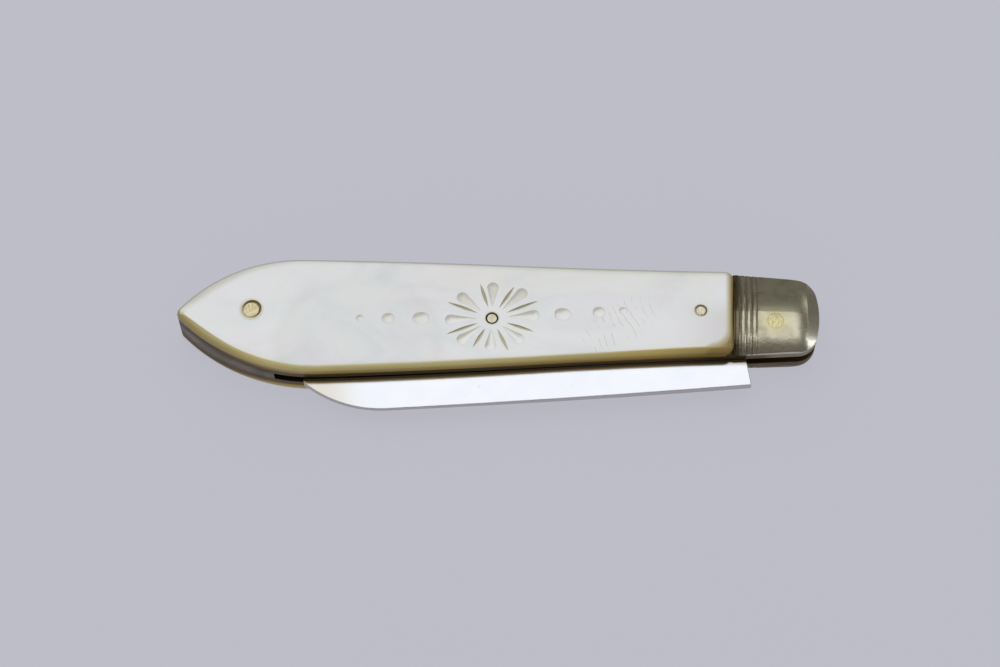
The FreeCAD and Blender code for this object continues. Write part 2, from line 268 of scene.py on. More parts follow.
# Floor and lights, in metres
# Each light has a place, a target, a size and the radiance of its surface, and some have a tint
FLOOR_HALF_SIZE = 3.0
LIGHTS = {
    "softbox": dict(
        place=(-0.04, 0.115, 0.6), target=(-0.04, 0.115, 0.0), size=(0.78, 0.385), radiance=0.9),
    "fill": dict(
        place=(-0.25, 0.45, 0.85), target=(0.0, 0.0, 0.0), size=(1.6, 1.6), radiance=1.2,
        shown_in_gloss=False),
    "front_card": dict(
        place=(0.0, -0.9, 0.35), target=(0.0, 0.0, 0.0), size=(1.6, 0.6), radiance=0.8,
        shown_in_gloss=False),
    "window": dict(
        place=(0.755, -0.03, 0.49), target=(0.039, -0.004, 0.006), size=(0.1, 0.45), radiance=3.2,
        tint=(0.82, 0.86, 1.0)),
    "strip": dict(
        place=(0.64, 0.38, 0.51), target=(0.039, 0.0, 0.006), size=(0.5, 0.1), radiance=1.0),
    "back_wall": dict(
        place=(0.0, 0.9, 0.55), target=(0.0, 0.0, 0.0), size=(3.0, 0.8), radiance=0.05,
        tint=(1.0, 0.91, 0.77)),
}


def centre_of(node):
    low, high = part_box(node)
    return (low + high) / 2


def radius_of(node):
    low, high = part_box(node)
    return (high.x - low.x) / 2


# Places worked out from the frame, in metres
scale_low, scale_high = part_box("front_scale")
z_scale, z_top = scale_low.z, scale_high.z
z_middle = z_top / 2
x_neck = cad_high.x - BOLSTER_LENGTH * MM
x_wide = scale_low.x + WIDEST_FROM_POINT * MM
neck_middle = Vector((x_neck, 0.0, 0.0))
bolster_way = Vector((BOLSTER_LENGTH, CAP_OFFSET, 0.0)).normalized()
slip_angle = math.radians(HOLE_SLIP_ANGLE)
slip_way = Vector((math.cos(slip_angle), math.sin(slip_angle), 0.0))


def rgb(red, green, blue):
    return (red, green, blue, 1.0)


def plan(point):
    """A place in plan given in millimetres, as the shaders use it."""
    return (point[0] * MM, point[1] * MM, 0.0)


# Material helpers

class Graph:
    """A material's node tree with short calls for the nodes used here."""

    def __init__(self, name):
        self.material = bpy.data.materials.new(name)
        self.material.use_nodes = True
        self.tree = self.material.node_tree
        self.tree.nodes.clear()
        self.shader = self.tree.nodes.new("ShaderNodeBsdfPrincipled")
        output = self.tree.nodes.new("ShaderNodeOutputMaterial")
        self.tree.links.new(self.shader.outputs["BSDF"], output.inputs["Surface"])
        coordinates = self.node("ShaderNodeTexCoord")
        self.place, self.normal = coordinates.outputs["Object"], coordinates.outputs["Normal"]
        split = self.node("ShaderNodeSeparateXYZ", {0: self.place})
        self.x, self.y, self.z = split.outputs

    def feed(self, socket, value):
        if isinstance(value, bpy.types.NodeSocket):
            self.tree.links.new(value, socket)
        else:
            socket.default_value = value

    def node(self, kind, inputs=None, **settings):
        made = self.tree.nodes.new(kind)
        for key, value in settings.items():
            setattr(made, key, value)
        for key, value in (inputs or {}).items():
            self.feed(made.inputs[key], value)
        return made

    def set(self, **values):
        """Sets the shader's inputs, named with underscores for spaces."""
        for key, value in values.items():
            self.feed(self.shader.inputs[key.replace("_", " ")], value)

    def math(self, operation, a, b=0.0):
        return self.node("ShaderNodeMath", {0: a, 1: b}, operation=operation).outputs[0]

    def plus(self, a, b):
        return self.math("ADD", a, b)

    def minus(self, a, b):
        return self.math("SUBTRACT", a, b)

    def times(self, a, b):
        return self.math("MULTIPLY", a, b)

    def divided(self, a, b):
        return self.math("DIVIDE", a, b)

    def larger(self, a, b):
        return self.math("MAXIMUM", a, b)

    def unsigned(self, value):
        return self.math("ABSOLUTE", value)

    def square(self, value):
        return self.times(value, value)

    def off_middle(self, phase):
        """How far a repeating phase is from the middle of its turn."""
        return self.unsigned(self.minus(self.math("FRACT", phase), 0.5))

    def smooth(self, value, low, high, start=0.0, end=1.0):
        """Goes smoothly from start at low to end at high."""
        inputs = {"Value": value, "From Min": low, "From Max": high, "To Min": start, "To Max": end}
        return self.node("ShaderNodeMapRange", inputs, interpolation_type="SMOOTHSTEP").outputs["Result"]

    def over(self, value, stretch, start=0.0, end=1.0):
        """Goes smoothly from start to end over a stretch given in millimetres."""
        return self.smooth(value, stretch[0] * MM, stretch[1] * MM, start, end)

    def mix(self, share, a, b, blend="MIX"):
        made = self.node("ShaderNodeMix", data_type="RGBA", blend_type=blend)
        for socket, value in ((made.inputs[0], share), (made.inputs[6], a), (made.inputs[7], b)):
            self.feed(socket, value)
        return made.outputs[2]

    def ramp(self, value, stops):
        made = self.node("ShaderNodeValToRGB", {"Fac": value})
        elements = made.color_ramp.elements
        while len(elements) < len(stops):
            elements.new(0.5)
        for element, (position, colour) in zip(elements, stops):
            element.position = position
            element.color = (*colour, 1.0)
        return made.outputs["Color"]

    def stretched(self, stretch, shift):
        mapping = self.node("ShaderNodeMapping", {"Vector": self.place})
        mapping.inputs["Scale"].default_value = [1.0 / s for s in stretch]
        mapping.inputs["Location"].default_value = (shift, shift, shift)
        return mapping.outputs[0]

    def noise(self, size, detail=3.0, distortion=0.0, stretch=(1.0, 1.0, 1.0), shift=0.0):
        """Soft noise with features of about the size, in millimetres, stretched along the axes."""
        inputs = {"Vector": self.stretched(stretch, shift), "Scale": 1.0 / (size * MM)}
        inputs.update({"Detail": detail, "Distortion": distortion})
        return self.node("ShaderNodeTexNoise", inputs).outputs["Fac"]

    def specks(self, spacing, radius, share, shift=0.0):
        """Small round spots in a share of the cells of the spacing, in millimetres."""
        inputs = {"Vector": self.stretched((1.0, 1.0, 1.0), shift), "Scale": 1.0 / (spacing * MM)}
        cells = self.node("ShaderNodeTexVoronoi", inputs)
        reach = radius / spacing
        spot = self.smooth(cells.outputs["Distance"], reach, reach * SPECK_CORE_SHARE)
        chosen = self.math("LESS_THAN", self.axis(cells.outputs["Color"], "X"), share)
        return self.times(spot, chosen)

    def axis(self, vector, name):
        return self.node("ShaderNodeSeparateXYZ", {0: vector}).outputs[name]

    def vectors(self, operation, a, b=(0.0, 0.0, 0.0)):
        return self.node("ShaderNodeVectorMath", {0: a, 1: b}, operation=operation)

    def towards(self, vector, way):
        """How far the vector goes the given way."""
        return self.vectors("DOT_PRODUCT", vector, way).outputs["Value"]

    def away_from(self, point):
        """The way from a point to the place."""
        return self.vectors("SUBTRACT", self.place, point).outputs["Vector"]

    def distance_from(self, point, radii):
        """Distance in plan from a point, counted in the radii along the two axes."""
        squash = (1.0 / radii[0], 1.0 / radii[1], 0.0)
        flat = self.vectors("MULTIPLY", self.away_from(point), squash).outputs["Vector"]
        return self.vectors("LENGTH", flat).outputs["Value"]

    def radii_from(self, pin):
        """Distance in plan from a pin's middle, counted in its radii."""
        return self.distance_from(centre_of(pin), (radius_of(pin), radius_of(pin)))

    def from_tip(self):
        """Distance along the handle from its point, in metres."""
        return self.minus(self.x, scale_low.x)

    def past_neck(self):
        """Distance along the bolsters from the neck, in metres."""
        return self.minus(self.towards(self.place, bolster_way), neck_middle.dot(bolster_way))

    def upward(self):
        """How squarely the surface faces up or down."""
        return self.unsigned(self.axis(self.normal, "Z"))

    def relief(self, height, depth, rounding):
        """Relief of a depth in millimetres, over edges rounded by millimetres or by a socket in metres."""
        radius = rounding if isinstance(rounding, bpy.types.NodeSocket) else rounding * MM
        rounded = self.node("ShaderNodeBevel", {"Radius": radius}, samples=ROUNDING_SAMPLES).outputs[0]
        inputs = {"Height": height, "Strength": 1.0, "Distance": depth * MM, "Normal": rounded}
        self.feed(self.shader.inputs["Normal"], self.node("ShaderNodeBump", inputs).outputs[0])


# Pearl

PEARL_IOR = 1.53
NACRE_CLOUDS = (
    (0.30, (0.705, 0.728, 0.753)),
    (0.44, (0.76, 0.777, 0.80)),
    (0.54, (0.785, 0.795, 0.805)),
    (0.68, (0.795, 0.80, 0.85)),
)
NACRE_TINTS = (
    (0.35, (1.0, 0.975, 0.985)),
    (0.5, (1.0, 1.0, 1.0)),
    (0.65, (0.985, 1.0, 0.98)),
)
FIGURE_TINT = rgb(0.95, 0.952, 0.94)
WARM_TINT = rgb(0.98, 0.98, 0.945)
SPECK_COLOUR = rgb(0.42, 0.41, 0.33)
SPECK_SHARE = 0.22
CRACK_COLOUR = rgb(0.40, 0.38, 0.30)
CRACK_SHARE = 0.47
YELLOW_TINT = rgb(0.93, 0.92, 0.80)
FAR_SHADE_TINT = rgb(0.78, 0.78, 0.76)
STAIN_COLOUR = rgb(0.50, 0.41, 0.22)
STAIN_SHARE = 0.6
PALE_LAYERS = ((0.35, (0.56, 0.48, 0.20)), (0.65, (0.62, 0.54, 0.25)))
DARK_LAYERS = ((0.35, (0.40, 0.25, 0.06)), (0.65, (0.50, 0.32, 0.085)))
WALL_AGEING = (
    (0.0, (0.57, 0.53, 0.46)),
    (0.09, (0.66, 0.63, 0.57)),
    (0.16, (0.93, 0.91, 0.88)),
    (0.5, (1.0, 1.0, 1.0)),
    (0.85, (0.84, 0.74, 0.56)),
    (0.95, (0.64, 0.55, 0.40)),
)
WALL_GRIME = rgb(0.085, 0.06, 0.03)
FAR_WALL_SHADE = rgb(0.38, 0.38, 0.345)
END_SHADE = rgb(0.86, 0.85, 0.81)
BAND_TAN = rgb(0.43, 0.37, 0.20)
BAND_BROWN = rgb(0.25, 0.17, 0.05)
HOLLOW_CLEAN = rgb(0.795, 0.80, 0.805)
HOLLOW_SOILED_SHADED = rgb(0.61, 0.59, 0.50)
VEIN_CLEAN = rgb(0.54, 0.50, 0.35)
VEIN_SOILED_SHADED = rgb(0.43, 0.38, 0.24)


def figure(g):
    """How strongly the oval figure shows, most along its rim."""
    wander = g.times(g.noise(FIGURE_WANDER, detail=2.0, shift=7.0), FIGURE_WANDER_RADII)
    radii = [radius * MM for radius in FIGURE_RADII]
    oval = g.plus(g.distance_from(plan(FIGURE_CENTRE), radii), wander)
    inside = g.smooth(oval, *FIGURE_INSIDE_RADII, 0.0, 0.65)
    rim_end = g.smooth(oval, *FIGURE_RIM_END_RADII, 0.0, 0.3)
    rim = g.times(g.smooth(oval, *FIGURE_RIM_START_RADII), rim_end)
    return g.plus(inside, rim)


def nacre(g):
    """The face's colour: clouds of changing tint, a greyer oval figure, a warm part and a few specks."""
    clouds = g.noise(PEARL_CLOUD, detail=4.0, distortion=1.4, stretch=(2.0, 1.0, 1.0))
    tints = g.noise(PEARL_TINT, detail=2.0, distortion=0.8, shift=3.0)
    colour = g.mix(1.0, g.ramp(clouds, NACRE_CLOUDS), g.ramp(tints, NACRE_TINTS), "MULTIPLY")
    colour = g.mix(figure(g), colour, FIGURE_TINT, "MULTIPLY")
    warm = g.times(g.over(g.y, WARM_Y), g.over(g.x, WARM_X))
    colour = g.mix(warm, colour, WARM_TINT, "MULTIPLY")
    specks = g.specks(*PEARL_SPECKS, shift=0.011)
    return g.mix(g.times(specks, SPECK_SHARE), colour, SPECK_COLOUR)


def cracks(g):
    """Hairline cracks: broken slanting lines in a belt across the face, fainter towards its far end."""
    sway = g.times(g.noise(CRACK_SWAY, detail=3.0, shift=1.0), SWAY_SHARE)
    phase = g.plus(g.divided(g.towards(g.place, CRACK_ACROSS), CRACK_SPACING * MM), sway)
    hairline = g.smooth(g.off_middle(phase), *HAIRLINE_SHARES)
    broken = g.smooth(g.noise(CRACK_BREAK, detail=3.0, shift=5.0), 0.45, 0.55)
    offset = g.away_from(plan(CRACK_CENTRE))
    beside = g.divided(g.towards(offset, Vector(CRACK_BELT).cross(UP)), CRACK_HALF_WIDTH * MM)
    beyond = g.divided(g.towards(offset, CRACK_BELT), CRACK_REACH * MM)
    out = g.plus(g.square(beside), g.square(beyond))
    strength = g.times(g.smooth(out, 1.1, 0.5), g.smooth(beyond, *FADING_CRACK_SHARES, 1.0, 0.55))
    return g.times(g.times(hairline, broken), strength)


def rim_distance(g):
    """Distance in from the handle's side, in metres."""
    width = g.smooth(g.x, x_wide, x_neck, scale_high.y, NECK_HALF_WIDTH * MM)
    reach = g.over(g.y, TO_BLADE_SIDE_Y, WIDEST_FROM_POINT * MM, WIDEST_ON_BLADE_SIDE * MM)
    into_point = g.larger(g.minus(1.0, g.divided(g.from_tip(), reach)), 0.0)
    narrowing = g.minus(1.0, g.square(into_point))
    return g.minus(g.times(width, narrowing), g.unsigned(g.y))


def pin_stains(g):
    """Brown staining close round the pins."""
    total = 0.0
    for pin in ("butt_pin", "centre_pin", "front_scale_rivet"):
        total = g.plus(g.smooth(g.radii_from(pin), *STAINED_RADII), total)
    return total


def aged_face(g, colour, rim):
    """The face, yellower towards its rim, with painted shade along its rim on the spring's side, and
    stained round the pins.
    """
    colour = g.mix(g.over(rim, YELLOW_RIM, 0.0, 0.6), colour, YELLOW_TINT, "MULTIPLY")
    # Painted shade along the rim on the spring's side, where the face rounds away.
    far_shade = g.times(g.over(g.y, FAR_SHADE_Y), g.over(rim, FAR_SHADE_RIM))
    colour = g.mix(far_shade, colour, FAR_SHADE_TINT, "MULTIPLY")
    return g.mix(g.times(pin_stains(g), STAIN_SHARE), colour, STAIN_COLOUR)


def wall_share(g, rim):
    """How far a place belongs to the wall, or to the blade side's bevel, which widens towards both ends."""
    to_point = g.over(g.from_tip(), POINT_BEVEL_TIP, 0.0, POINT_BEVEL * MM)
    to_neck = g.over(g.minus(g.x, x_neck), NECK_BEVEL_NECK, 0.0, NECK_BEVEL * MM)
    bevel = g.over(g.minus(rim, g.plus(to_point, to_neck)), BEVEL_RIM)
    on_wall = g.smooth(g.upward(), *WALL_UPWARD)
    return g.larger(on_wall, g.times(bevel, g.over(g.y, BEVEL_Y)))


def above_liner(g):
    """Height of a place on either scale over its liner, in metres."""
    from_middle = g.unsigned(g.minus(g.z, z_middle))
    return g.minus(from_middle, z_scale - z_middle)


def wall_colour(g, height, grime):
    """The wall's layers, darker towards the liner and aged towards both ends, with painted shade greying
    the far side.
    """
    layers = g.noise(PEARL_LAYER, detail=3.0, stretch=(40.0, 40.0, 1.0))
    low = g.smooth(height, z_top - z_scale - PALE_LAYERS_DEPTH * MM, 0.0)
    colour = g.mix(low, g.ramp(layers, PALE_LAYERS), g.ramp(layers, DARK_LAYERS))
    along = g.divided(g.from_tip(), x_neck - scale_low.x)
    colour = g.mix(1.0, colour, g.ramp(along, WALL_AGEING), "MULTIPLY")
    colour = g.mix(grime, colour, WALL_GRIME)
    # Painted shade: walls that face the far side are greyed.
    far_side = g.smooth(g.axis(g.normal, "Y"), *FAR_WALL_FACING)
    return g.mix(far_side, colour, FAR_WALL_SHADE)


def band_depth(g, rim):
    """How far out a place lies, in metres, in the brown band along the pearl's end and near corner."""
    near_rim = g.plus(rim, g.over(g.y, TO_SPRING_SIDE_Y, 0.0, BAND_FAR_SHIFT * MM))
    past_neck = g.past_neck()
    past_end = g.larger(g.plus((END_BAND + BAND_RADIUS) * MM, past_neck), 0.0)
    past_side = g.larger(g.minus((SIDE_BAND + BAND_RADIUS) * MM, near_rim), 0.0)
    out = g.math("SQRT", g.plus(g.square(past_end), g.square(past_side)))
    ending = g.over(past_neck, BAND_ENDING_NECK, BAND_RADIUS * MM, 2.0 * BAND_RADIUS * MM)
    return g.minus(out, ending)


def browned_end(g, colour, rim):
    """Paints shade on the pearl's near half towards the bolster and lays the brown band along its end."""
    # Painted shade on the near half of the pearl beside the bolster.
    end_shade_share = g.times(g.over(g.past_neck(), END_SHADE_NECK), g.over(g.y, END_SHADE_Y))
    colour = g.mix(end_shade_share, colour, END_SHADE, "MULTIPLY")
    band = band_depth(g, rim)
    colour = g.mix(g.over(band, TAN_BAND, 0.0, 0.9), colour, BAND_TAN, "DARKEN")
    return g.mix(g.over(band, BROWN_BAND, 0.0, 0.85), colour, BAND_BROWN)


def pearl():
    g = Graph("pearl")
    lines = cracks(g)
    rim = rim_distance(g)
    height = above_liner(g)
    grime = g.times(g.over(height, GRIMY_HEIGHT), g.over(g.x, GRIMY_X, 0.1, 0.95))
    colour = g.mix(g.times(lines, CRACK_SHARE), nacre(g), CRACK_COLOUR)
    colour = aged_face(g, colour, rim)
    colour = g.mix(wall_share(g, rim), colour, wall_colour(g, height, grime))
    colour = browned_end(g, colour, rim)
    ripple = g.noise(PEARL_RIPPLE, detail=4.0, distortion=0.6)
    g.relief(g.minus(ripple, g.times(lines, 0.6)), PEARL_RELIEF, PEARL_ROUNDING)
    roughness = g.smooth(ripple, *NOISE_MIDDLE, 0.14, 0.24)
    gloss = g.times(g.smooth(g.upward(), *GLOSSY_UPWARD, 0.1, 0.5), g.minus(1.0, grime))
    g.set(Base_Color=colour, Roughness=roughness, IOR=PEARL_IOR, Specular_IOR_Level=gloss)
    return g.material


def carved_pearl(name, clean, soiled_and_shaded):
    """Pearl in the cuts: dirty at their brims and darker towards the left, with painted shade on the walls
    that face the shaded way and in the cuts on the far side.
    """
    g = Graph(name)
    grain = g.noise(CUT_GRAIN, detail=4.0)
    # Painted shade: walls that face the shaded way and cuts on the far side take the darker colour.
    shaded = g.smooth(g.towards(g.normal, SHADED_WAY), *SHADED_FACING)
    far = g.over(g.y, SHADED_CUTS_Y, 0.0, 0.85)
    left = g.over(g.x, DARKER_CUTS_X, 0.0, 0.35)
    soil_and_shade = g.larger(shaded, g.larger(far, left))
    patchy = g.times(soil_and_shade, g.smooth(grain, 0.25, 0.75, 0.75, 1.0))
    brim = g.over(g.minus(g.z, z_top), BRIM_Z, 0.0, 0.6)
    colour = g.mix(brim, g.mix(patchy, clean, soiled_and_shaded), soiled_and_shaded)
    g.relief(grain, CUT_RELIEF, CUT_ROUNDING)
    g.set(Base_Color=colour, Roughness=0.38, IOR=PEARL_IOR)
    return g.material


# Metals

BOLSTER_TONES = (
    (0.30, (0.47, 0.44, 0.32)),
    (0.50, (0.60, 0.57, 0.43)),
    (0.72, (0.66, 0.63, 0.50)),
)
PIVOT_RUBBING = rgb(0.64, 0.58, 0.33)
REED_GRIME = rgb(0.24, 0.19, 0.125)
FIRST_REED_GRIME_SHADOW = rgb(0.11, 0.08, 0.045)
PIT_COLOUR = rgb(0.22, 0.19, 0.12)
PIT_SHARE = 0.3
LOWER_WALL_SHADE = rgb(0.11, 0.09, 0.055)
BLADE_TONES = ((0.3, (0.855, 0.88, 0.965)), (0.7, (0.89, 0.91, 0.985)))
BLADE_TIP_TINT = rgb(0.84, 0.80, 0.68)
BLADE_BACK = rgb(0.52, 0.49, 0.45)
BLADE_STAIN = rgb(0.45, 0.40, 0.30)
BLADE_STAIN_SHARE = 0.1
HANDLE_REFLECTION = rgb(0.36, 0.31, 0.22)
SPRING_TONES = ((0.34, (0.15, 0.136, 0.10)), (0.64, (0.225, 0.205, 0.15)))
LINER_TONES = ((0.34, (0.12, 0.086, 0.045)), (0.64, (0.165, 0.121, 0.062)))
LINER_PAINTED_LIGHT = rgb(0.42, 0.33, 0.17)
LINER_POLISHED = rgb(0.36, 0.32, 0.23)
BUTT_PIN_TONES = ((0.30, (0.82, 0.69, 0.38)), (0.55, (1.0, 0.90, 0.58)))
PIN_TONES = ((0.30, (0.86, 0.77, 0.55)), (0.55, (1.0, 0.95, 0.78)))
PIVOT_TONES = ((0.30, (0.59, 0.52, 0.29)), (0.55, (0.72, 0.66, 0.38)))
PIN_PITTED_SHARE = 0.25
PIVOT_PITTED_SHARE = 0.8
PIN_PIT_COLOUR = rgb(0.20, 0.155, 0.07)
PIN_PIT_SHARE = 0.75
PIN_SIDE = rgb(0.16, 0.115, 0.05)


def soiled_reeds(g, colour):
    """Grime between the reeds, in uneven patches and weaker down the sides, with grime and painted shadow
    darkest at the first reed by the pearl.
    """
    phase = g.divided(g.minus(g.past_neck(), REED_START * MM), REED_PITCH * MM)
    in_reeds = g.smooth(phase, REED_COUNT + 0.12, REED_COUNT - 0.05)
    uneven = g.noise(REED_PATCH, detail=4.0, stretch=(1.0, 2.5, 1.0), shift=4.0)
    soil_and_shade = g.plus(g.off_middle(phase), g.smooth(uneven, *NOISE_MIDDLE, -0.1, 0.14))
    grime = g.times(g.smooth(soil_and_shade, 0.12, 0.36), in_reeds)
    off_top = g.unsigned(g.minus(g.y, REED_TOP_Y * MM))
    colour = g.mix(g.times(grime, g.over(off_top, REED_SIDES_Y, 0.75, 0.45)), colour, REED_GRIME)
    # Grime and painted shadow along the first reed, where the bolster meets the pearl.
    return g.mix(g.smooth(phase, 1.3, 0.5, 0.0, 0.8), colour, FIRST_REED_GRIME_SHADOW)


def nickel_silver():
    g = Graph("nickel_silver")
    cloud = g.noise(BOLSTER_CLOUD, detail=6.0, distortion=0.4)
    from_pivot = g.radii_from("pivot_pin")
    rubbed = g.smooth(from_pivot, *RUBBED_RADII, 0.0, 0.6)
    colour = g.mix(rubbed, g.ramp(cloud, BOLSTER_TONES), PIVOT_RUBBING)
    colour = soiled_reeds(g, colour)
    pits = g.specks(*BOLSTER_PITS, shift=0.02)
    colour = g.mix(g.times(pits, PIT_SHARE), colour, PIT_COLOUR)
    # Painted shade: the bolsters' lower walls take a dark brown.
    lower = g.over(g.minus(g.z, z_middle), LOWER_HALF_Z)
    wall = g.smooth(g.upward(), *BOLSTER_WALL_UPWARD, 0.0, 0.85)
    colour = g.mix(g.times(lower, wall), colour, LOWER_WALL_SHADE)
    scratches = g.noise(BOLSTER_SCRATCH, detail=3.0, stretch=(9.0, 1.0, 1.0))
    roughness = g.plus(g.smooth(cloud, *NOISE_MIDDLE, 0.25, 0.18), g.times(scratches, 0.05))
    near_slope = g.smooth(g.axis(g.normal, "Y"), *NEAR_SLOPE_FACING, 0.0, 1.6)
    dents = g.times(g.noise(BOLSTER_DENT, detail=3.0, shift=8.0), near_slope)
    height = g.plus(g.times(cloud, 0.35), g.times(scratches, 0.12))
    rounding = g.smooth(from_pivot, *ROUNDED_RADII, 0.0, BOLSTER_ROUNDING * MM)
    g.relief(g.plus(height, dents), BOLSTER_RELIEF, rounding)
    g.set(Base_Color=colour, Metallic=1.0, Roughness=roughness)
    return g.material


def silver():
    """The blade's bright metal, warmer at its tip, greyer on its back, with a painted dark reflection of
    the handle beside it.
    """
    g = Graph("silver")
    cloud = g.noise(BLADE_CLOUD, detail=5.0)
    from_blade_tip = g.minus(g.x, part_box("blade")[0].x)
    warm = g.over(from_blade_tip, WARM_BLADE_TIP)
    colour = g.mix(warm, g.ramp(cloud, BLADE_TONES), BLADE_TIP_TINT, "MULTIPLY")
    on_back = g.smooth(g.axis(g.normal, "Y"), *BLADE_BACK_FACING, 0.0, 0.85)
    colour = g.mix(on_back, colour, BLADE_BACK)
    stains = g.specks(*BLADE_STAINS, shift=0.03)
    colour = g.mix(g.times(stains, BLADE_STAIN_SHARE), colour, BLADE_STAIN)
    # Painted reflection: a dark brown strip where the blade shows beside the handle.
    handle_reflection_share = g.over(rim_distance(g), HANDLE_REFLECTION_RIM, 0.0, 0.85)
    colour = g.mix(handle_reflection_share, colour, HANDLE_REFLECTION)
    brushing = g.noise(BLADE_BRUSHING, detail=4.0, stretch=(30.0, 1.0, 1.0))
    roughness = g.plus(0.09, g.times(brushing, 0.08))
    height = g.plus(g.times(cloud, 0.5), g.times(brushing, 0.10))
    g.relief(height, BLADE_RELIEF, BLADE_ROUNDING)
    g.set(Base_Color=colour, Metallic=1.0, Roughness=roughness)
    return g.material


def dull_metal(name, tones, roughness, streak, stretch):
    """Unpolished metal with streaks along the piece, given as its graph, its colour and its roughness."""
    g = Graph(name)
    streaks = g.noise(streak, detail=5.0, stretch=stretch)
    blotches = g.noise(METAL_BLOTCH, detail=4.0, shift=6.0)
    share = g.plus(g.times(streaks, 0.6), g.times(blotches, 0.4))
    g.relief(streaks, METAL_RELIEF, METAL_ROUNDING)
    wear_and_light = g.smooth(share, *NOISE_MIDDLE, roughness + 0.08, roughness - 0.06)
    return g, g.ramp(share, tones), wear_and_light


def spring_steel():
    g, colour, roughness = dull_metal("spring_steel", SPRING_TONES, 0.46, SPRING_STREAK, (22.0, 22.0, 1.0))
    g.set(Base_Color=colour, Metallic=1.0, Roughness=roughness)
    return g.material


def liner_brass():
    """Dark brass, with painted light along the middle of the handle, where the liner lies in shade under
    the scale, and polished under the front bolster's cap.
    """
    g, colour, roughness = dull_metal("liner_brass", LINER_TONES, 0.48, LINER_STREAK, (16.0, 16.0, 1.0))
    past_neck = g.past_neck()
    # Painted light: the liner is lightened along the middle of the handle, in the shade under the scale.
    wear_and_light = g.times(g.over(past_neck, LIT_LINER_NECK), g.over(g.x, LIT_LINER_X, 0.0, 0.5))
    colour = g.mix(wear_and_light, colour, LINER_PAINTED_LIGHT)
    under_bolster = g.over(past_neck, POLISHED_LINER_NECK, 0.0, 0.8)
    polished = g.times(under_bolster, g.math("GREATER_THAN", g.z, z_middle))
    colour = g.mix(polished, colour, LINER_POLISHED)
    g.set(Base_Color=colour, Metallic=1.0, Roughness=roughness)
    return g.material


def pin_brass(name, tones, pitted_share, rounding):
    """A filed pin end: pale metal, fine file marks, dirt down its side, dark pits and a rounded edge."""
    g = Graph(name)
    marks = g.noise(PIN_MARK, detail=4.0, stretch=(1.0, 4.0, 1.0))
    pits = g.specks(*PIN_PITS, pitted_share, shift=0.017)
    colour = g.mix(g.times(pits, PIN_PIT_SHARE), g.ramp(marks, tones), PIN_PIT_COLOUR)
    colour = g.mix(g.smooth(g.upward(), *PIN_SIDE_UPWARD), colour, PIN_SIDE)
    g.relief(marks, PIN_RELIEF, rounding)
    g.set(Base_Color=colour, Metallic=1.0, Roughness=g.smooth(marks, *NOISE_MIDDLE, 0.36, 0.24))
    return g.material


# Meshes and objects

def finished(mesh, name, looks):
    """Mesh data made from a bmesh, with its faces turned outwards and its materials."""
    bmesh.ops.recalc_face_normals(mesh, faces=mesh.faces)
    data = bpy.data.meshes.new(name)
    mesh.to_mesh(data)
    mesh.free()
    for look in looks:
        data.materials.append(look)
    return data


def placed(name, data):
    """A new object in the scene."""
    made = bpy.data.objects.new(name, data)
    bpy.context.scene.collection.objects.link(made)
    return made


def paint(data, *materials):
    data.materials.clear()
    for material in materials:
        data.materials.append(material)


# Carved front scale

def gouge(mesh, start, end, stations, look):
    """Adds a closed tool: rings of the given (share of the way, radius, lift) from start to end."""
    way = (end - start).normalized()
    side = Vector((-way.y, way.x, 0.0))
    angles = [math.pi * step / GOUGE_UPPER_SIDES for step in range(GOUGE_UPPER_SIDES)]
    angles += [math.pi * (1 + step / GOUGE_LOWER_SIDES) for step in range(GOUGE_LOWER_SIDES)]
    rings = []
    for share, radius, lift in stations:
        centre = start.lerp(end, share) + UP * lift
        ring = []
        for angle in angles:
            offset = side * math.cos(angle) + UP * math.sin(angle)
            ring.append(mesh.verts.new(centre + offset * radius))
        rings.append(ring)
    faces = [mesh.faces.new(list(reversed(rings[0]))), mesh.faces.new(rings[-1])]
    for near, far in zip(rings, rings[1:]):
        for step in range(len(angles)):
            after = (step + 1) % len(angles)
            faces.append(mesh.faces.new((near[step], near[after], far[after], far[step])))
    for face in faces:
        face.material_index = look


def ball_for(half_width, depth):
    """Radius of the ball that sinks to the depth and shows the half width at the face."""
    return (half_width ** 2 + depth ** 2) / (2 * depth)


def flower_middle():
    """The flower's middle, on the face over the centre pin."""
    middle = centre_of("centre_pin")
    return Vector((middle.x, middle.y, z_top))


def flower_place(degrees, share):
    """A place in the flower at the angle, on the oval that is the share of its full size."""
    angle = math.radians(degrees)
    way = Vector((math.cos(angle), math.sin(angle), 0.0))
    reach = MM / math.hypot(way.x / FLOWER_HALF_LENGTH, way.y / FLOWER_HALF_WIDTH)
    return flower_middle() + way * reach * share


def petal_tool(mesh, angle, reach):
    """A gouge cut: a cone from the inner end that widens into a ball at the outer end."""
    inner, outer = flower_place(angle, PETAL_START_SHARE), flower_place(angle, reach)
    length = (outer - inner).length
    ball = ball_for(PETAL_HALF_WIDTH, PETAL_DEPTH) * MM
    ball_at = length - PETAL_HALF_WIDTH * MM
    full_lift = ball - PETAL_DEPTH * MM
    stations = []
    for step in range(GOUGE_STATIONS + 1):
        share = step / GOUGE_STATIONS
        along = length * share
        if along < ball_at:
            radius = max(ball * along / ball_at, ball * CUT_POINT_SHARE)
            lift = full_lift * along / ball_at + CUT_RUN_OUT * MM * (1 - along / ball_at)
        else:
            radius = math.sqrt(max(ball ** 2 - (along - ball_at) ** 2, 0.0))
            lift = full_lift
        stations.append((share, radius, lift))
    gouge(mesh, inner, outer, stations, HOLLOW)


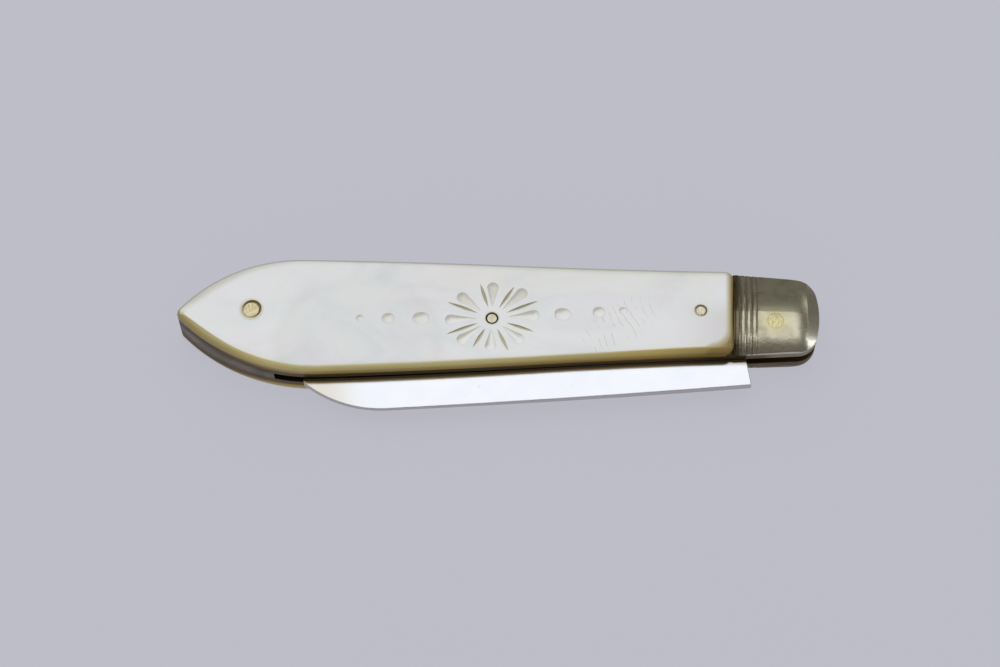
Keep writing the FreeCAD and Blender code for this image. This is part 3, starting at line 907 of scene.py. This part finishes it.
def vein_tool(mesh, angle, reach):
    """A thin cut, pointed at both ends, between two petals."""
    inner, outer = flower_place(angle, VEIN_START_SHARE), flower_place(angle, reach)
    ball = ball_for(VEIN_HALF_WIDTH, VEIN_DEPTH) * MM
    stations = []
    for step in range(GOUGE_STATIONS + 1):
        share = step / GOUGE_STATIONS
        swell = math.sin(math.pi * share)
        lift = (ball - VEIN_DEPTH * MM) * swell + CUT_RUN_OUT * MM * (1 - swell)
        stations.append((share, ball * max(swell, CUT_POINT_SHARE), lift))
    gouge(mesh, inner, outer, stations, VEIN)


def dot_tool(mesh, centre, way, half_length, half_width, depth):
    """A thumbnail cut: an oval hollow with a square wall on the side of the flower."""
    ball = ball_for(half_width, depth)
    stretch = half_length / half_width
    first = -DOT_WALL_SHARE * half_width / ball
    start = centre + Vector((way * first * ball * stretch * MM, 0.0, 0.0))
    end = centre + Vector((way * ball * stretch * MM, 0.0, 0.0))
    stations = []
    for step in range(GOUGE_STATIONS + 1):
        share = step / GOUGE_STATIONS
        along = first + (1.0 - first) * share
        radius = ball * math.sqrt(max(1.0 - along ** 2, 0.0)) * MM
        stations.append((share, max(radius, ball * MM * CUT_POINT_SHARE), (ball - depth) * MM))
    gouge(mesh, start, end, stations, HOLLOW)


def dot_row_tools(mesh, way, rise_share, distances):
    """The dots on one side of the flower, smaller the further out they lie."""
    for distance, *sizes in zip(distances, DOT_HALF_LENGTHS, DOT_HALF_WIDTHS, DOT_DEPTHS):
        along = Vector((way * distance, way * distance * rise_share, 0.0)) * MM
        dot_tool(mesh, flower_middle() + along, way, *sizes)


def worn_corner_tool(mesh):
    """Blocks whose lower faces roll over the corner of the scale next to the blade and the bolster."""
    corner = Vector((x_neck, -NECK_HALF_WIDTH * MM, z_top))
    along = corner + Vector((-WORN_ALONG, 0.0, 0.0)) * MM
    across = corner + Vector((0.0, WORN_ACROSS, 0.0)) * MM
    side = (across - along).normalized()
    outward = Vector((side.y, -side.x, 0.0))
    centre = (along + across) / 2 - UP * WORN_RADIUS * MM
    for tilt in WORN_TILTS:
        angle = math.radians(tilt)
        out = outward * math.sin(angle) + UP * math.cos(angle)
        turn = Matrix((side, out.cross(side), out)).transposed().to_4x4()
        middle = centre + out * (WORN_RADIUS + WORN_TOOL / 2) * MM
        bmesh.ops.create_cube(mesh, size=WORN_TOOL * MM, matrix=Matrix.Translation(middle) @ turn)


def slipped_hole_tool(mesh):
    """A drill beside the butt pin, which widens its hole on one side."""
    pin = centre_of("butt_pin")
    radius = radius_of("butt_pin") + HOLE_GAP * MM
    middle = Vector((pin.x, pin.y, (z_scale + z_top) / 2)) + slip_way * HOLE_SLIP * MM
    bmesh.ops.create_cone(
        mesh, cap_ends=True, segments=RING_STEPS, radius1=radius, radius2=radius,
        depth=2 * (z_top - z_scale), matrix=Matrix.Translation(middle))


def carving_tools(looks):
    """One mesh with every cut of the flower, the two rows of dots, the corner's wear and the slipped hole.
    """
    mesh = bmesh.new()
    for angle, reach in PETALS:
        petal_tool(mesh, angle, reach)
    for angle, reach in VEINS:
        vein_tool(mesh, angle, reach)
    dot_row_tools(mesh, -1, LEFT_ROW_RISE_SHARE, LEFT_DOT_DISTANCES)
    dot_row_tools(mesh, 1, RIGHT_ROW_RISE_SHARE, RIGHT_DOT_DISTANCES)
    worn_corner_tool(mesh)
    slipped_hole_tool(mesh)
    return finished(mesh, "carving_tools", looks)


def welded_copy(node):
    """A copy of a node's mesh with its doubled vertices joined."""
    data = nodes[node].data.copy()
    mesh = bmesh.new()
    mesh.from_mesh(data)
    bmesh.ops.remove_doubles(mesh, verts=mesh.verts, dist=WELD_DISTANCE * MM)
    mesh.to_mesh(data)
    mesh.free()
    return data


def sharpen_brims(data):
    """Marks each edge between two looks as sharp, so that the flat face isn't shaded like the cuts."""
    looks_at = {}
    for polygon in data.polygons:
        for key in polygon.edge_keys:
            looks_at.setdefault(key, set()).add(polygon.material_index)
    for edge in data.edges:
        edge.use_edge_sharp = edge.use_edge_sharp or len(looks_at[edge.key]) > 1


def carved_scale(looks):
    """The front scale with its carving cut in, which takes the plain scale's place."""
    scale = placed("carved_front_scale", welded_copy("front_scale"))
    tools = placed("carving_tools", carving_tools(looks))
    paint(scale.data, *looks)
    cut = scale.modifiers.new("carving", "BOOLEAN")
    cut.object = tools
    cut.operation = "DIFFERENCE"
    cut.solver = "EXACT"
    cut.use_self = True
    bpy.context.view_layer.update()
    result = bpy.data.meshes.new_from_object(scale.evaluated_get(bpy.context.evaluated_depsgraph_get()))
    scale.modifiers.clear()
    scale.data = result
    bpy.data.objects.remove(tools)
    result.set_sharp_from_angle(angle=math.radians(SHARP_ANGLE))
    sharpen_brims(result)
    weighted = scale.modifiers.new("even_shading", "WEIGHTED_NORMAL")
    weighted.keep_sharp = True
    weighted.weight = AREA_WEIGHT
    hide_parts("front_scale")
    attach(scale, "handle")


# Dirt round the pins

DIRT_TONES = ((0.3, (0.12, 0.085, 0.03)), (0.7, (0.33, 0.25, 0.11)))
FLUSH_DIRT = rgb(0.56, 0.50, 0.34)


def dirt(name, centre):
    """Brown dirt, paler on the side where it lies flush."""
    g = Graph(name)
    grain = g.noise(DIRT_GRAIN, detail=4.0)
    flush = g.over(g.towards(g.away_from(centre), slip_way), FLUSH_DIRT_WAY, 0.0, 0.8)
    g.relief(grain, DIRT_RELIEF, DIRT_ROUNDING)
    g.set(Base_Color=g.mix(flush, g.ramp(grain, DIRT_TONES), FLUSH_DIRT), Roughness=0.7)
    return g.material


def around(centre, radius, level):
    """Points round a centre, whose radius and level come from each point's angle."""
    points = []
    for step in range(RING_STEPS):
        angle = math.tau * step / RING_STEPS
        way = Vector((math.cos(angle), math.sin(angle), 0.0))
        points.append(Vector((centre.x, centre.y, level(angle))) + way * radius(angle))
    return points


def closed_ring(name, loops, look):
    """A ring on the handle, skinned over loops of points that follow one another round its section."""
    mesh = bmesh.new()
    rows = [[mesh.verts.new(point) for point in loop] for loop in loops]
    for near, far in zip(rows, rows[1:] + rows[:1]):
        for step in range(RING_STEPS):
            after = (step + 1) % RING_STEPS
            mesh.faces.new((near[step], near[after], far[after], far[step]))
    made = placed(name, finished(mesh, name, [look]))
    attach(made, "handle")


def packed_dirt(name, pin, depth, swing, slip):
    """Dirt in the pearl's hole round a pin, deeper by the swing on the side where the hole slipped."""

    def towards_slip(angle):
        return math.cos(angle - slip_angle)

    def inner(angle):
        return radius_of(pin) + DIRT_CLEARANCE * MM

    def outer(angle):
        return radius_of(pin) + (HOLE_GAP - DIRT_CLEARANCE + slip * max(towards_slip(angle), 0.0)) * MM

    def top(angle):
        return z_top - (depth + swing * towards_slip(angle)) * MM

    def bottom(angle):
        return z_scale + DIRT_CLEARANCE * MM

    section = ((inner, top), (outer, top), (outer, bottom), (inner, bottom))
    loops = [around(centre_of(pin), radius, level) for radius, level in section]
    closed_ring(name, loops, dirt(name, centre_of(pin)))


def paint_all():
    """Dresses every node and adds the carved scale and the dirt."""
    pearl_look, bolster_look, liner_look = pearl(), nickel_silver(), liner_brass()
    butt_look = pin_brass("butt_brass", BUTT_PIN_TONES, PIN_PITTED_SHARE, PIN_ROUNDING)
    pin_look = pin_brass("pin_brass", PIN_TONES, PIN_PITTED_SHARE, PIN_ROUNDING)
    pivot_look = pin_brass("pivot_brass", PIVOT_TONES, PIVOT_PITTED_SHARE, 0.0)
    hollow_look = carved_pearl("pearl_hollow", HOLLOW_CLEAN, HOLLOW_SOILED_SHADED)
    vein_look = carved_pearl("pearl_vein", VEIN_CLEAN, VEIN_SOILED_SHADED)
    carved_scale((pearl_look, hollow_look, vein_look))
    packed_dirt("butt_pin_dirt", "butt_pin", BUTT_DIRT_DEPTH, BUTT_DIRT_SWING, HOLE_SLIP)
    packed_dirt("front_rivet_dirt", "front_scale_rivet", RIVET_DIRT_DEPTH, RIVET_DIRT_SWING, 0.0)
    looks = {
        "rear_scale": pearl_look,
        "front_liner": liner_look,
        "rear_liner": liner_look,
        "front_bolster": bolster_look,
        "rear_bolster": bolster_look,
        "blade": silver(),
        "back_spring": spring_steel(),
        "pivot_pin": pivot_look,
        "centre_pin": pin_look,
        "butt_pin": butt_look,
        "front_scale_rivet": pin_look,
        "rear_scale_rivet": pin_look,
    }
    for node, look in looks.items():
        paint(nodes[node].data, look)


# Stage

FLOOR_TONES = ((0.3, (0.069, 0.069, 0.078)), (0.7, (0.071, 0.071, 0.082)))
FLOOR_GLOW = rgb(0.452, 0.452, 0.512)
ROOM_GLOW = rgb(0.145, 0.143, 0.135)


def floor():
    """A pale floor that glows, so that the shadow round the knife stays as faint as in the photograph."""
    size = FLOOR_HALF_SIZE
    data = bpy.data.meshes.new("floor")
    corners = [(-size, -size, 0), (size, -size, 0), (size, size, 0), (-size, size, 0)]
    data.from_pydata(corners, [], [(0, 1, 2, 3)])
    made = placed("floor", data)
    g = Graph("floor_paper")
    paper = g.ramp(g.noise(FLOOR_CLOUD, detail=2.0), FLOOR_TONES)
    g.set(Base_Color=paper, Roughness=0.9, Specular_IOR_Level=0.0)
    g.set(Emission_Color=FLOOR_GLOW, Emission_Strength=1.0)
    data.materials.append(g.material)


def area_light(name, place, target, size, radiance, tint=(1.0, 1.0, 1.0), shown_in_gloss=True):
    """A rectangular light whose surface shows the radiance in the tint."""
    light = bpy.data.lights.new(name, "AREA")
    light.shape = "RECTANGLE"
    light.size, light.size_y = size
    light.energy = radiance * size[0] * size[1] * math.pi
    light.color = tint
    made = placed(name, light)
    made.location = place
    made.rotation_euler = (Vector(target) - Vector(place)).to_track_quat("-Z", "Y").to_euler()
    made.visible_glossy = shown_in_gloss
    made.visible_camera = False


def lights():
    world = bpy.data.worlds.new("studio")
    bpy.context.scene.world = world
    world.use_nodes = True
    background = world.node_tree.nodes["Background"]
    background.inputs["Color"].default_value = ROOM_GLOW
    background.inputs["Strength"].default_value = 1.0
    for name, light in LIGHTS.items():
        area_light(name, **light)


def camera():
    data = bpy.data.cameras.new("camera")
    data.sensor_width = SENSOR_WIDTH
    data.sensor_fit = "HORIZONTAL"
    data.lens = SENSOR_WIDTH * CAMERA_DISTANCE / VIEW_WIDTH
    data.clip_start = CAMERA_NEAR * MM
    data.clip_end = CAMERA_FAR * MM
    made = placed("camera", data)
    elevation = math.radians(CAMERA_ELEVATION)
    away = Vector((0.0, -math.cos(elevation), math.sin(elevation))) * CAMERA_DISTANCE
    made.location = (Vector(CAMERA_TARGET) + away) * MM
    turn = Matrix.Rotation(math.radians(90 - CAMERA_ELEVATION), 3, "X")
    roll = Matrix.Rotation(math.radians(CAMERA_ROLL), 3, "Z")
    made.rotation_euler = (turn @ roll).to_euler()
    bpy.context.scene.camera = made


paint_all()
floor()
lights()
camera()
bpy.context.scene.view_settings.view_transform = "Standard"
